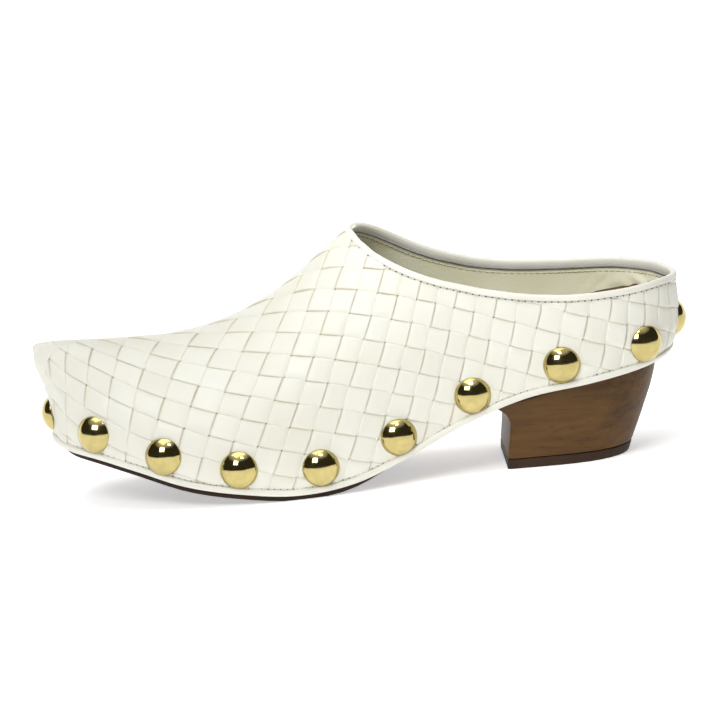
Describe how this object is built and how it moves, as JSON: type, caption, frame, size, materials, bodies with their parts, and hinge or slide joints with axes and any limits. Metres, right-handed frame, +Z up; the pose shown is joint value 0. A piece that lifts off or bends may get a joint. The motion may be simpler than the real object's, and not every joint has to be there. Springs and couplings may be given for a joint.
{
  "type": "woven leather clog mule",
  "caption": "Left mule with a pointed toe: woven leather upper on a wood platform, smooth edge bindings, gold dome studs along the lower edge and a wood block heel.",
  "frame": {"origin": "middle of the shoe's bounding box, on the floor", "axes": "+X from the toe to the heel, +Z up, -Y is the outer side of the left foot"},
  "size_m": [0.2682, 0.0964, 0.1029],
  "materials": {
    "woven_leather": "semi-matte",
    "smooth_leather": "semi-matte",
    "body_wood": "raw",
    "sock_leather": "matte",
    "sole_rubber": "matte",
    "heel_wood": "satin",
    "gold": "polished"
  },
  "bodies": {
    "root": {"upper": "woven_leather", "collar_binding": "smooth_leather", "edge_binding": "smooth_leather", "platform": "body_wood", "insole": "sock_leather", "outsole": "sole_rubber", "heel": "heel_wood", "heel_tip": "sole_rubber", "stud_01": "gold", "stud_02": "gold", "stud_03": "gold", "stud_04": "gold", "stud_05": "gold", "stud_06": "gold", "stud_07": "gold", "stud_08": "gold", "stud_09": "gold", "stud_10": "gold", "stud_11": "gold", "stud_12": "gold", "stud_13": "gold", "stud_14": "gold", "stud_15": "gold", "stud_16": "gold", "stud_17": "gold", "stud_18": "gold"}
  },
  "joints": []
}
